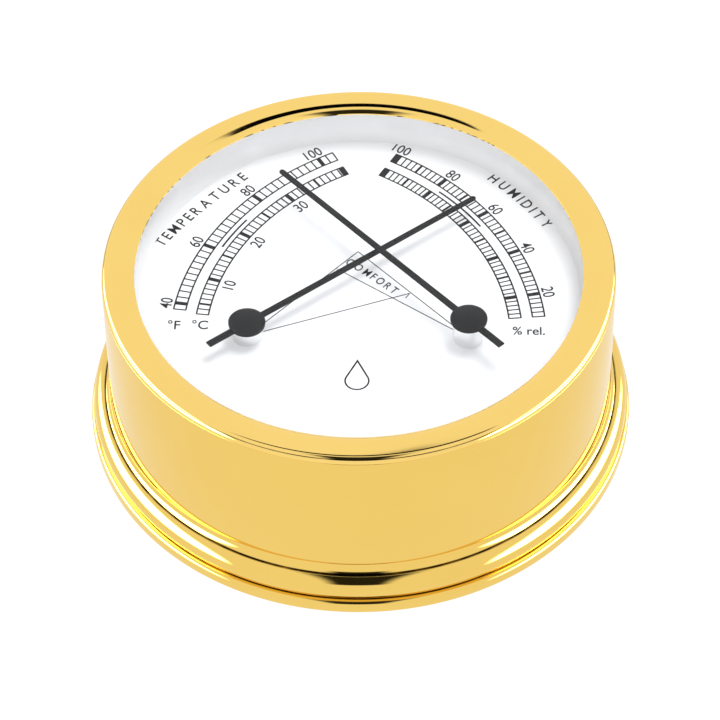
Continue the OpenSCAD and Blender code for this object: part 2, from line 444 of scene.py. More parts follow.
def handling_group() -> bpy.types.NodeTree:
    """Faint smudges and hairline scratches that any handled surface has.

    Returns:
        A group with Roughness, Tone and Height outputs.
    """
    found = bpy.data.node_groups.get("handling_marks")
    if found:
        return found
    tree, wires, entry, leave = shader_group(
        "handling_marks",
        [
            ("Vector", "NodeSocketVector", None),
            ("Scale", "NodeSocketFloat", 60.0),
            ("Low", "NodeSocketFloat", 0.05),
            ("High", "NodeSocketFloat", 0.12),
            ("Stretch", "NodeSocketVector", (1.0, 1.0, 1.0)),
        ],
        [("Roughness", "NodeSocketFloat"), ("Tone", "NodeSocketFloat"), ("Height", "NodeSocketFloat")],
    )
    smudge = wires.add("ShaderNodeTexNoise", {"Detail": 3.0, "Roughness": 0.55})
    wires.join(entry.outputs["Vector"], smudge.inputs["Vector"])
    wires.join(entry.outputs["Scale"], smudge.inputs["Scale"])
    blend = wires.add("ShaderNodeMapRange", {"From Min": 0.35, "From Max": 0.7})
    wires.join(smudge.outputs[0], blend.inputs["Value"])
    wires.join(entry.outputs["Low"], blend.inputs["To Min"])
    wires.join(entry.outputs["High"], blend.inputs["To Max"])
    tone = wires.add("ShaderNodeMapRange", {"From Min": 0.3, "From Max": 0.75})
    wires.join(smudge.outputs[0], tone.inputs["Value"])
    stretch = wires.add("ShaderNodeVectorMath", operation="MULTIPLY")
    wires.join(entry.outputs["Vector"], stretch.inputs[0])
    wires.join(entry.outputs["Stretch"], stretch.inputs[1])
    hairline = wires.add("ShaderNodeTexNoise", {"Scale": 900.0, "Detail": 2.0, "Roughness": 0.6})
    wires.join(stretch.outputs[0], hairline.inputs["Vector"])
    wires.join(blend.outputs[0], leave.inputs["Roughness"])
    wires.join(tone.outputs[0], leave.inputs["Tone"])
    wires.join(hairline.outputs[0], leave.inputs["Height"])
    return tree


def shade_line_group() -> bpy.types.NodeTree:
    """Painted shade: a dark line round a turned part, standing in for the shade and dark reflection in a groove or
    on a rounded edge.

    Returns:
        A group with a Mask output.
    """
    found = bpy.data.node_groups.get("painted_shade_line")
    if found:
        return found
    tree, wires, entry, leave = shader_group(
        "painted_shade_line",
        [
            ("Vector", "NodeSocketVector", None),
            ("Radius", "NodeSocketFloat", 0.05),
            ("Height", "NodeSocketFloat", 0.01),
            ("Width", "NodeSocketFloat", 0.0004),
        ],
        [("Mask", "NodeSocketFloat")],
    )
    parts = wires.add("ShaderNodeSeparateXYZ")
    flat = wires.add("ShaderNodeVectorMath", {1: (1.0, 1.0, 0.0)}, operation="MULTIPLY")
    reach = wires.add("ShaderNodeVectorMath", operation="LENGTH")
    out = wires.add("ShaderNodeMath", operation="SUBTRACT")
    up = wires.add("ShaderNodeMath", operation="SUBTRACT")
    offset = wires.add("ShaderNodeCombineXYZ")
    away = wires.add("ShaderNodeVectorMath", operation="LENGTH")
    share = wires.add("ShaderNodeMath", operation="DIVIDE")
    mask = wires.add("ShaderNodeMapRange", {"From Min": 0.35, "From Max": 1.0, "To Min": 1.0, "To Max": 0.0})
    mottle = wires.add("ShaderNodeTexNoise", {"Scale": 260.0, "Detail": 2.0})
    uneven = wires.add("ShaderNodeMapRange", {"From Min": 0.3, "From Max": 0.6, "To Min": 0.7, "To Max": 1.0})
    both = wires.add("ShaderNodeMath", operation="MULTIPLY")
    wires.join(entry.outputs["Vector"], parts.inputs[0])
    wires.join(entry.outputs["Vector"], flat.inputs[0])
    wires.join(flat.outputs[0], reach.inputs[0])
    wires.join(reach.outputs["Value"], out.inputs[0])
    wires.join(entry.outputs["Radius"], out.inputs[1])
    wires.join(parts.outputs["Z"], up.inputs[0])
    wires.join(entry.outputs["Height"], up.inputs[1])
    wires.join(out.outputs[0], offset.inputs[0])
    wires.join(up.outputs[0], offset.inputs[1])
    wires.join(offset.outputs[0], away.inputs[0])
    wires.join(away.outputs["Value"], share.inputs[0])
    wires.join(entry.outputs["Width"], share.inputs[1])
    wires.join(share.outputs[0], mask.inputs["Value"])
    wires.join(entry.outputs["Vector"], mottle.inputs["Vector"])
    wires.join(mottle.outputs[0], uneven.inputs["Value"])
    wires.join(mask.outputs[0], both.inputs[0])
    wires.join(uneven.outputs[0], both.inputs[1])
    wires.join(both.outputs[0], leave.inputs["Mask"])
    return tree


@dataclass(frozen=True)
class Finish:
    """A surface finish: base colour, polish, the marks of use on it, and painted shade lines where they are given.

    No finish is named like a slot of the record, whose plain material it would then find.
    """

    name: str
    colour: tuple[float, float, float]
    worn: tuple[float, float, float]
    metallic: float = 0.0
    gloss_low: float = 0.3
    gloss_high: float = 0.4
    smudge_scale: float = 60.0
    grain: tuple[float, float, float] = (1.0, 1.0, 1.0)
    relief: float = 0.02
    specular: float = 0.5
    painted_shade_lines: tuple[tuple[float, float, float], ...] = ()

    def build(self) -> bpy.types.Material:
        """Makes the material, once.

        Returns:
            The material.
        """
        found = bpy.data.materials.get(self.name)
        if found:
            return found
        material = bpy.data.materials.new(self.name)
        material.use_nodes = True
        material.node_tree.nodes.clear()
        wires = Wiring(material.node_tree)
        out = wires.add("ShaderNodeOutputMaterial")
        shell = wires.add(
            "ShaderNodeBsdfPrincipled",
            {"Metallic": self.metallic, "Specular IOR Level": self.specular},
        )
        spot = wires.add("ShaderNodeTexCoord")
        marks = wires.add("ShaderNodeGroup", node_tree=handling_group())
        for label, value in (
            ("Scale", self.smudge_scale),
            ("Low", self.gloss_low),
            ("High", self.gloss_high),
            ("Stretch", self.grain),
        ):
            marks.inputs[label].default_value = value
        wires.join(spot.outputs["Object"], marks.inputs["Vector"])
        tint = wires.add("ShaderNodeMix", data_type="RGBA")
        tint.inputs[6].default_value = (*self.colour, 1.0)
        tint.inputs[7].default_value = (*self.worn, 1.0)
        wires.join(marks.outputs["Tone"], tint.inputs[0])
        colour = tint.outputs[2]
        # Each entry paints a dark shade line round the part: radius, height and width in millimetres.
        for radius, height, width in self.painted_shade_lines:
            line = wires.add("ShaderNodeGroup", node_tree=shade_line_group())
            line.inputs["Radius"].default_value = radius * MM
            line.inputs["Height"].default_value = height * MM
            line.inputs["Width"].default_value = width * MM
            wires.join(spot.outputs["Object"], line.inputs["Vector"])
            # Painted shade: near-black mixed into the colour along the line.
            painted_shade = wires.add("ShaderNodeMix", data_type="RGBA")
            painted_shade.inputs[7].default_value = (0.03, 0.018, 0.006, 1.0)
            wires.join(line.outputs["Mask"], painted_shade.inputs[0])
            wires.join(colour, painted_shade.inputs[6])
            colour = painted_shade.outputs[2]
        wires.join(colour, shell.inputs["Base Color"])
        wires.join(marks.outputs["Roughness"], shell.inputs["Roughness"])
        bump = wires.add("ShaderNodeBump", {"Strength": self.relief, "Distance": 0.00005})
        wires.join(marks.outputs["Height"], bump.inputs["Height"])
        wires.join(bump.outputs[0], shell.inputs["Normal"])
        wires.join(shell.outputs[0], out.inputs["Surface"])
        return material


@dataclass(frozen=True)
class ClearGlass:
    """Flat coated instrument glass that reflects little and lets light fall on the dial."""

    name: str = "instrument_glass"
    index: float = 1.22

    def build(self) -> bpy.types.Material:
        """Makes the material, once.

        Returns:
            The material.
        """
        found = bpy.data.materials.get(self.name)
        if found:
            return found
        material = bpy.data.materials.new(self.name)
        material.use_nodes = True
        material.node_tree.nodes.clear()
        wires = Wiring(material.node_tree)
        out = wires.add("ShaderNodeOutputMaterial")
        shell = wires.add(
            "ShaderNodeBsdfPrincipled",
            {
                "Base Color": (0.985, 0.995, 0.99, 1.0),
                "Roughness": 0.0,
                "IOR": self.index,
                "Transmission Weight": 1.0,
                "Specular IOR Level": 0.1,
            },
        )
        clear = wires.add("ShaderNodeBsdfTransparent", {"Color": (0.96, 0.965, 0.965, 1.0)})
        path = wires.add("ShaderNodeLightPath")
        either = wires.add("ShaderNodeMath", operation="MAXIMUM")
        mix = wires.add("ShaderNodeMixShader")
        wires.join(path.outputs["Is Shadow Ray"], either.inputs[0])
        wires.join(path.outputs["Is Diffuse Ray"], either.inputs[1])
        wires.join(either.outputs[0], mix.inputs[0])
        wires.join(shell.outputs[0], mix.inputs[1])
        wires.join(clear.outputs[0], mix.inputs[2])
        wires.join(mix.outputs[0], out.inputs["Surface"])
        return material


# The drum's brass is the ring's brass painted darker: painted shade for the dimmer reflection on the drum's wall.
# Both are one metal.
SHADED_DRUM_BRASS = Finish(
    "drum_brass_painted_shade",
    colour=(0.885, 0.61, 0.155),
    worn=(0.87, 0.59, 0.145),
    metallic=1.0,
    gloss_low=0.035,
    gloss_high=0.06,
    smudge_scale=45.0,
    grain=(1.0, 1.0, 0.25),
    relief=0.012,
    # Painted shade lines in the quirks above the foot's rim and under the cove.
    painted_shade_lines=((58.4, 3.2, 0.45), (56.6, 8.75, 0.38)),
)
RING_BRASS = Finish(
    "ring_brass",
    colour=(0.96, 0.675, 0.20),
    worn=(0.94, 0.65, 0.185),
    metallic=1.0,
    gloss_low=0.035,
    gloss_high=0.06,
    smudge_scale=45.0,
    grain=(1.0, 1.0, 0.25),
    relief=0.012,
    # Painted dark line on the bezel's rounded top edge, standing in for a dark reflection there.
    painted_shade_lines=((55.03, 44.08, 0.14),),
)
TURNED_BRASS = Finish(
    "turned_brass",
    colour=(0.62, 0.44, 0.18),
    worn=(0.46, 0.31, 0.12),
    metallic=1.0,
    gloss_low=0.24,
    gloss_high=0.38,
    smudge_scale=120.0,
    grain=(1.0, 1.0, 0.1),
    relief=0.12,
)
PLATED_STEEL = Finish(
    "plated_steel",
    colour=(0.62, 0.63, 0.64),
    worn=(0.50, 0.50, 0.50),
    metallic=1.0,
    gloss_low=0.26,
    gloss_high=0.42,
    smudge_scale=70.0,
    grain=(0.08, 1.0, 1.0),
    relief=0.16,
)
BRIGHT_NICKEL = Finish(
    "bright_nickel",
    colour=(0.86, 0.86, 0.87),
    worn=(0.80, 0.80, 0.80),
    metallic=1.0,
    gloss_low=0.05,
    gloss_high=0.10,
    smudge_scale=150.0,
    grain=(1.0, 1.0, 0.2),
)
BLUED_SCREW = Finish(
    "screw_steel",
    colour=(0.52, 0.52, 0.54),
    worn=(0.36, 0.35, 0.35),
    metallic=1.0,
    gloss_low=0.2,
    gloss_high=0.34,
    smudge_scale=260.0,
    grain=(1.0, 1.0, 0.2),
    relief=0.1,
)
BIMETAL = Finish(
    "bimetal_strip",
    colour=(0.50, 0.46, 0.40),
    worn=(0.38, 0.31, 0.22),
    metallic=1.0,
    gloss_low=0.28,
    gloss_high=0.42,
    smudge_scale=220.0,
    grain=(1.0, 1.0, 6.0),
    relief=0.12,
)
HUMIDITY_STRIP = Finish(
    "coated_strip",
    colour=(0.58, 0.44, 0.24),
    worn=(0.68, 0.58, 0.42),
    metallic=0.6,
    gloss_low=0.35,
    gloss_high=0.55,
    smudge_scale=220.0,
    grain=(1.0, 1.0, 6.0),
    relief=0.12,
)
DIAL_ENAMEL = Finish(
    "white_dial_enamel",
    colour=(0.80, 0.80, 0.83),
    worn=(0.785, 0.785, 0.815),
    gloss_low=0.42,
    gloss_high=0.52,
    smudge_scale=90.0,
    relief=0.05,
    specular=0.3,
)
WHITE_RING = Finish(
    "white_spacer",
    colour=(0.74, 0.74, 0.765),
    worn=(0.70, 0.70, 0.725),
    gloss_low=0.5,
    gloss_high=0.62,
    smudge_scale=140.0,
    relief=0.05,
    specular=0.3,
)
SEAL_RUBBER = Finish(
    "white_seal",
    colour=(0.78, 0.78, 0.80),
    worn=(0.68, 0.68, 0.69),
    gloss_low=0.6,
    gloss_high=0.75,
    smudge_scale=260.0,
    relief=0.2,
    specular=0.3,
)
BLACK_LACQUER = Finish(
    "black_lacquer",
    colour=(0.006, 0.006, 0.007),
    worn=(0.012, 0.012, 0.013),
    gloss_low=0.42,
    gloss_high=0.56,
    smudge_scale=180.0,
    relief=0.06,
    specular=0.16,
)
DIAL_INK = Finish(
    "dial_ink",
    colour=(0.006, 0.006, 0.007),
    worn=(0.015, 0.015, 0.016),
    gloss_low=0.5,
    gloss_high=0.65,
    smudge_scale=300.0,
    relief=0.05,
    specular=0.15,
)
GLASS = ClearGlass()


def dress(frame: dict, finish: Finish | ClearGlass, *nodes: str) -> None:
    """Gives carried-over nodes a finish.

    Args:
        frame: The loaded frame.
        finish: The finish to give.
        *nodes: Names of the nodes.
    """
    material = finish.build()
    for name in nodes:
        node = frame["nodes"][name]
        if not node.material_slots:
            node.data.materials.append(material)
        for place_for in node.material_slots:
            place_for.material = material
        log.info("%s keeps its own shape, in %s", name, material.name)


def seat(
    piece: bpy.types.Object,
    body: str,
    slot: str,
    finish: Finish | ClearGlass | None,
    *stands_for: str,
) -> bpy.types.Object:
    """Finishes a piece and ties it to its body.

    Args:
        piece: The new piece.
        body: The body it rides on.
        slot: The record's material slot; not used.
        finish: Its finish, or None where it already has one.
        *stands_for: Nodes it stands for.

    Returns:
        The piece.
    """
    if finish:
        piece.data.materials.clear()
        piece.data.materials.append(finish.build())
    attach(piece, body)
    if stands_for:
        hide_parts(*stands_for)
    log.info("%s rides on %s: %d faces", piece.name, body, len(piece.data.polygons))
    return piece


# ------------------------------------------------------------------------ case


@dataclass
class BrassCase:
    """Drum with its moulded foot, and the bezel pressed into its mouth."""

    base_r: float = 60.0
    wall_r: float = 55.45
    bore_r: float = 52.9
    mouth_r: float = 53.95
    height: float = 44.5
    joint: float = 43.05
    opening_r: float = 48.35
    rim_top: float = 3.2
    rim_foot_round: float = 0.8
    rim_top_round: float = 0.9
    bead_back: float = 4.12
    bead_up: float = 5.44
    bead_r: float = 3.37
    bead_top: float = 8.7
    cove_rise: float = 2.25
    cove_line: float = 0.04
    quirk: float = 0.3
    cover_r: float = 52.1
    cover_top: float = 2.5
    lip_r: float = 47.0
    lip_top: float = 4.5
    seat_low: float = 31.5
    glass_top: float = 43.3
    spigot_r: float = 53.85
    spigot_low: float = 38.0
    glass_r: float = 52.7
    roll_r: float = 5.2
    roll_run: float = 2.85
    segments: int = 384

    def drum_profile(self) -> list[Point]:
        """The drum's outline, foot first.

        Returns:
            The closed profile.
        """
        bead = (self.base_r - self.bead_back, self.bead_up)
        low_turn, high_turn = (
            math.degrees(math.asin((z - self.bead_up) / self.bead_r))
            for z in (self.rim_top, self.bead_top)
        )
        flare = bead[0] + self.bead_r * math.cos(math.radians(high_turn))
        foot_r = self.wall_r + self.cove_line
        run = flare - foot_r
        hollow = (run**2 + self.cove_rise**2) / (2 * run)
        cove_top = self.bead_top + self.cove_rise
        centre = (foot_r + hollow, cove_top)
        ledge = flare - self.quirk
        start = math.degrees(math.asin(math.sqrt(hollow**2 - (centre[0] - ledge) ** 2) / hollow))
        foot, shoulder, corner = self.rim_foot_round, self.rim_top_round, 0.1
        return [
            (self.cover_r, 0.0),
            *arc((self.base_r - foot, foot), foot, -90, 0, 10),
            *arc((self.base_r - shoulder, self.rim_top - shoulder), shoulder, 0, 90, 12),
            *arc(bead, self.bead_r, low_turn, high_turn, 48),
            (ledge, self.bead_top),
            *arc(centre, hollow, 180 + start, 180, 28),
            (self.wall_r, cove_top),
            *arc((self.wall_r - corner, self.joint - corner), corner, 0, 90, 4),
            (self.mouth_r, self.joint),
            (self.mouth_r, self.seat_low),
            (self.bore_r, self.seat_low),
            (self.bore_r, self.lip_top),
            (self.lip_r, self.lip_top),
            (self.lip_r, self.cover_top),
            (self.cover_r, self.cover_top),
        ]

    def bezel_profile(self) -> list[Point]:
        """The bezel's outline, inner lip first.

        Returns:
            The closed profile.
        """
        break_out, break_down, gap = 0.06, 0.06, 0.08
        start = self.opening_r + self.roll_run
        lean = math.degrees(math.asin(self.roll_run / self.roll_r))
        edge = self.height - self.joint
        return [
            (self.opening_r + break_out, self.glass_top),
            (self.opening_r, self.glass_top + break_down),
            *arc((start, self.height - self.roll_r), self.roll_r, 90 + lean, 90, 28),
            *arc((self.wall_r - edge, self.joint), edge, 90, 4, 20),
            (self.wall_r - gap, self.joint),
            (self.spigot_r, self.joint),
            (self.spigot_r, self.spigot_low),
            (self.glass_r, self.spigot_low),
            (self.glass_r, self.glass_top),
        ]

    def build(self) -> None:
        """Makes the drum and the bezel."""
        drum = lathe("drum_shell", self.drum_profile(), self.segments)
        seat(drum, "root", "polished_brass", SHADED_DRUM_BRASS, "case_drum")
        bezel = lathe("bezel_ring", self.bezel_profile(), self.segments)
        seat(bezel, "root", "polished_brass", RING_BRASS, "bezel")


# --------------------------------------------------------------------- glazing


@dataclass
class Glazing:
    """Glass, the seal under it and the white ring that spaces it from the dial."""

    frame: dict
    dial_top: float = 34.8
    ring_top: float = 41.4
    inner_r: float = 50.4
    outer_r: float = 52.4
    cove: float = 2.5

    def build(self) -> None:
        """Dresses the glass and seal, and makes the spacer ring."""
        dress(self.frame, GLASS, "glass")
        dress(self.frame, SEAL_RUBBER, "glass_seal")
        centre = (self.inner_r - self.cove, self.dial_top + self.cove + 0.1)
        profile = [
            (self.outer_r, self.dial_top),
            (self.outer_r, self.ring_top),
            (self.inner_r, self.ring_top),
            *arc(centre, self.cove, 0, -90, 16),
            (self.inner_r - self.cove, self.dial_top),
        ]
        seat(lathe("spacer_wall", profile, 256), "root", "white_plastic", WHITE_RING, "spacer_ring")


# ------------------------------------------------------------------------ dial


class Weight(Enum):
    """Width of a printed division mark, in millimetres."""

    FINE = 0.33
    MIDDLE = 0.56
    HEAVY = 0.96
    END = 1.22


@dataclass(frozen=True)
class Scale:
    """A ring segment of divisions about one pointer axis."""

    name: str
    side: int
    zero_at: float
    per_unit: float
    first: float
    last: float
    unit: float
    inner: float
    outer: float
    heavy: tuple[float, ...] = ()
    middle: tuple[float, ...] = ()
    ends: tuple[float, ...] = ()

    def angle(self, value: float) -> float:
        """Direction of a reading, in degrees."""
        return self.zero_at + self.per_unit * value


@dataclass(frozen=True)
class Word:
    """Lettering at one place on the dial."""

    text: str
    at: Point
    turn: float
    size: float
    squeeze: float = 0.86
    bold: float = 0.0


F_ZERO = 171.46 + 0.827 * 40
C_ZERO = 170.89 + 1.497 * 5
H_ZERO = 11.93 - 0.6123 * 20
SCALES = (
    Scale("fahrenheit", 1, F_ZERO, -0.827, 38, 104, 2, 61.61, 64.27, heavy=(40, 60, 80, 100)),
    Scale(
        "celsius",
        1,
        C_ZERO,
        -1.497,
        3,
        40,
        1,
        56.51,
        59.13,
        heavy=(10, 20, 30),
        middle=(5, 15, 25, 35),
        ends=(40,),
    ),
    Scale(
        "humidity_outer",
        -1,
        H_ZERO,
        0.6123,
        10,
        100,
        2,
        61.61,
        64.27,
        heavy=(20, 40, 60, 80),
        middle=(30, 50, 70, 90),
        ends=(100,),
    ),
    Scale(
        "humidity_inner",
        -1,
        H_ZERO,
        0.6123,
        10,
        100,
        2,
        56.51,
        59.13,
        heavy=(20, 40, 60, 80),
        middle=(30, 50, 70, 90),
        ends=(100,),
    ),
)


@dataclass
class DialFace:
    """White dial with two pairs of scales, numbers, words and a small drop mark."""

    frame: dict
    top: float = 34.8
    ink: float = 0.03
    axis_x: float = 23.75
    axis_y: float = -12.1
    line: float = 0.36

    def axis(self, side: int) -> Point:
        """Where a pointer axis stands."""
        return (side * self.axis_x, self.axis_y)

    def marks(self, scale: Scale) -> list[tuple[float, Weight]]:
        """Readings that are marked on a scale, with their weights.

        Args:
            scale: The scale.

        Returns:
            Reading and weight of each heavier mark.
        """
        found = [(value, Weight.HEAVY) for value in scale.heavy]
        found += [(value, Weight.MIDDLE) for value in scale.middle]
        return found

    def tick(self, name: str, scale: Scale, width: float, level: float) -> bpy.types.Object:
        """One division mark as seen from the axis, along +X.

        Args:
            name: Object name.
            scale: Whose radii it spans.
            width: Its width.
            level: Extra height over the ink.

        Returns:
            The mark.
        """
        work = bmesh.new()
        half = width / 2
        outline = [(scale.inner, -half), (scale.outer, -half), (scale.outer, half), (scale.inner, half)]
        prism(work, outline, self.top - 0.01, self.top + self.ink + level)
        return from_bmesh(name, work)

    def build_scale(self, scale: Scale) -> None:
        """Prints one scale: fine divisions, heavier marks and its two border arcs.

        Args:
            scale: The scale.
        """
        ink = DIAL_INK.build()
        centre = self.axis(scale.side)
        count = int(round((scale.last - scale.first) / scale.unit)) + 1
        step = scale.per_unit * scale.unit
        fine = COPIES.bake(
            scale.name + "_divisions",
            self.tick("tick", scale, Weight.FINE.value, 0.0),
            count,
            scale.angle(scale.first),
            step,
            centre,
            ink,
        )
        seat(fine, "root", "black_satin", None)
        for weight in (Weight.HEAVY, Weight.MIDDLE):
            values = [value for value, w in self.marks(scale) if w is weight]
            if values:
                gap = scale.per_unit * (values[1] - values[0])
                bold = COPIES.bake(
                    f"{scale.name}_{weight.name.lower()}",
                    self.tick("tick", scale, weight.value, 0.004),
                    len(values),
                    scale.angle(values[0]),
                    gap,
                    centre,
                    ink,
                )
                seat(bold, "root", "black_satin", None)
        work = bmesh.new()
        low, high = sorted((scale.angle(scale.first), scale.angle(scale.last)))
        for radius in (scale.inner, scale.outer):
            arc_strip(
                work,
                centre,
                radius - self.line / 2,
                radius + self.line / 2,
                low - 0.11,
                high + 0.11,
                self.top - 0.01,
                self.top + self.ink - 0.004,
            )
        for value in scale.ends:
            turn = scale.angle(value)
            half = math.degrees(Weight.END.value / (scale.inner + scale.outer))
            inward = -half if scale.per_unit > 0 else half
            low_end, high_end = sorted((turn + 2 * inward, turn))
            arc_strip(
                work,
                centre,
                scale.inner,
                scale.outer,
                low_end,
                high_end,
                self.top - 0.01,
                self.top + self.ink + 0.008,
            )
        seat(from_bmesh(scale.name + "_borders", work), "root", "black_satin", DIAL_INK)

    def letters(self, word: Word) -> bpy.types.Mesh:
        """Makes one word a closed mesh, centred on the origin.

        Args:
            word: The word.

        Returns:
            A mesh in millimetres, unturned.
        """
        curve = bpy.data.curves.new("lettering", "FONT")
        curve.body = word.text
        curve.size = word.size
        curve.resolution_u = 6
        curve.offset = word.bold
        curve.extrude = (self.ink + 0.01) / 2
        shape = bpy.data.objects.new("lettering", curve)
        bpy.context.scene.collection.objects.link(shape)
        bpy.context.view_layer.update()
        graph = bpy.context.evaluated_depsgraph_get()
        mesh = bpy.data.meshes.new_from_object(shape.evaluated_get(graph), depsgraph=graph)
        bpy.data.objects.remove(shape)
        xs, ys = [v.co.x for v in mesh.vertices], [v.co.y for v in mesh.vertices]
        middle = Vector(((min(xs) + max(xs)) / 2, (min(ys) + max(ys)) / 2, 0.0))
        mesh.transform(Matrix.Diagonal((word.squeeze, 1.0, 1.0, 1.0)) @ Matrix.Translation(-middle))
        return mesh

    def print_words(self, name: str, words: list[Word]) -> None:
        """Prints several words as one piece.

        Args:
            name: Name of the piece.
            words: What to print.
        """
        work = bmesh.new()
        level = self.top + (self.ink - 0.01) / 2
        for word in words:
            mesh = self.letters(word)
            mesh.transform(
                Matrix.Translation(
                    (word.at[0], word.at[1], level)
                ) @ Matrix.Rotation(math.radians(word.turn), 4, "Z")
            )
            work.from_mesh(mesh)
            bpy.data.meshes.remove(mesh)
        bmesh.ops.remove_doubles(work, verts=work.verts, dist=0.0004)
        seat(from_bmesh(name, work), "root", "black_satin", DIAL_INK)

    def along(
        self,
        text: str,
        size: float,
        squeeze: float,
        ends: tuple[Point, Point, Point],
        gap: float,
        bold: float,
    ) -> list[Word]:
        """Letters of a word set along a gentle curve.

        Args:
            text: The word.
            size: Letter size.
            squeeze: Width factor.
            ends: Start, middle and end of the curve.
            gap: Space between letters.
            bold: Stroke change.

        Returns:
            One word for each letter.
        """
        widths = []
        for letter in text:
            mesh = self.letters(Word(letter, (0, 0), 0, size, squeeze, bold))
            xs = [v.co.x for v in mesh.vertices]
            widths.append(max(xs) - min(xs))
            bpy.data.meshes.remove(mesh)
        whole = sum(widths) + gap * (len(text) - 1)
        start, middle, stop = (Vector(p) for p in ends)
        out, run = [], 0.0
        for letter, width in zip(text, widths):
            t = (run + width / 2) / whole
            spot = start * (1 - t) * (1 - 2 * t) + middle * 4 * t * (1 - t) + stop * t * (2 * t - 1)
            slope = start * (4 * t - 3) + middle * (4 - 8 * t) + stop * (4 * t - 1)
            out.append(
                Word(
                    letter,
                    (spot.x, spot.y),
                    math.degrees(math.atan2(slope.y, slope.x)),
                    size,
                    squeeze,
                    bold,
                )
            )
            run += width + gap
        return out

    def round_words(self, side: int, radius: float, values: dict[str, float], size: float) -> list[Word]:
        """Numbers set round an axis, tops outward.

        Args:
            side: Which axis.
            radius: Radius of their centres.
            values: Text and direction of each.
            size: Letter size.

        Returns:
            The words.
        """
        cx, cy = self.axis(side)
        out = []
        for text, turn in values.items():
            t = math.radians(turn)
            out.append(
                Word(
                    text,
                    (cx + radius * math.cos(t), cy + radius * math.sin(t)),
                    turn - 90,
                    size,
                    0.84,
                    0.03,
                )
            )
        return out

    def comfort_field(self) -> None:
        """Prints the comfort lines and the two arcs between the scales."""
        work = bmesh.new()
        left, right = Vector(self.axis(-1)), Vector(self.axis(1))
        tip, notch, corner, near = Vector((-0.49, 13.36)), Vector((7.16, -0.46)), Vector((11.0, 0.88)), Vector((-5.2, 8.2))
        low, high = self.top - 0.01, self.top + self.ink - 0.006
        for a, b in ((left, tip), (left, corner), (right, tip), (right, near)):
            start = a + (b - a).normalized() * 3.6
            line_strip(work, tuple(start), tuple(b), 0.22, low, high)
        line_strip(
            work,
            tuple(corner),
            tuple(corner + (corner - Vector((11.9, 2.3)))),
            0.22,
            low,
            high - 0.002,
        )
        for side, turns in ((1, (144.5, 153.9)), (-1, (33.8, 47.3))):
            arc_strip(work, self.axis(side), 60.08, 60.52, turns[0], turns[1], low, high)
        seat(from_bmesh("comfort_lines", work), "root", "black_satin", DIAL_INK)

    def drop_mark(self) -> None:
        """Prints a plain water drop in outline."""
        work = bmesh.new()
        centre = Vector((0.07, -24.9))

        def outline(radius: float, peak: float) -> list[Vector]:
            """Points of a drop, from its tip round and back."""
            lean = math.degrees(math.acos(radius / peak))
            turns = [90 - lean - (360 - 2 * lean) * k / 40 for k in range(41)]
            ring = [
                centre + Vector((radius * math.cos(math.radians(t)), radius * math.sin(math.radians(t))))
                for t in turns
            ]
            return [centre + Vector((0, peak))] + ring

        outer, inner = outline(2.7, 6.2), outline(2.33, 5.3)
        heights = (self.top - 0.01, self.top + self.ink)
        rows = [
            [work.verts.new((p.x, p.y, z)) for p in line]
            for line, z in (
                (outer, heights[0]),
                (outer, heights[1]),
                (inner, heights[1]),
                (inner, heights[0]),
            )
        ]
        count = len(outer)
        for k in range(count):
            for r in range(4):
                a, b = rows[r], rows[(r + 1) % 4]
                work.faces.new((a[k], b[k], b[(k + 1) % count], a[(k + 1) % count]))
        bmesh.ops.recalc_face_normals(work, faces=work.faces)
        seat(from_bmesh("drop_mark", work), "root", "black_satin", DIAL_INK)

    def build(self) -> None:
        """Dresses the dial plate and prints everything on it."""
        dress(self.frame, DIAL_ENAMEL, "dial")
        for scale in SCALES:
            self.build_scale(scale)
        numbers = self.round_words(1, 66.2, {"40": 171.8, "60": 154.9, "80": 138.1, "100": 122.0}, 3.75)
        numbers += self.round_words(
            -1,
            66.2,
            {"20": 12.0, "40": 24.2, "60": 36.1, "80": 48.3, "100": 60.6},
            3.75,
        )
        numbers += self.round_words(1, 54.2, {"10": 163.9, "20": 148.8, "30": 133.4}, 3.75)
        self.print_words("scale_numbers", numbers)
        words = self.along(
            "TEMPERATURE",
            3.75,
            0.84,
            ((-44.6, 14.9), (-36.4, 26.1), (-26.3, 37.1)),
            0.55,
            0.035,
        )
        words += self.along("HUMIDITY", 3.75, 0.84, ((28.5, 37.4), (35.7, 29.7), (41.7, 21.5)), 0.55, 0.035)
        words += self.along("COMFORT", 2.9, 0.8, ((-2.9, 10.7), (2.9, 5.9), (8.2, 1.2)), 0.32, 0.025)
        words += [
            Word("°F", (-39.7, -9.1), 0, 3.6, 0.95, 0.03),
            Word("°C", (-34.1, -9.0), 0, 3.6, 0.95, 0.03),
            Word("% rel.", (36.7, -9.95), 0, 3.3, 0.95, 0.035),
        ]
        self.print_words("dial_words", words)
        self.comfort_field()
        self.drop_mark()


# ----------------------------------------------------------------------- hands


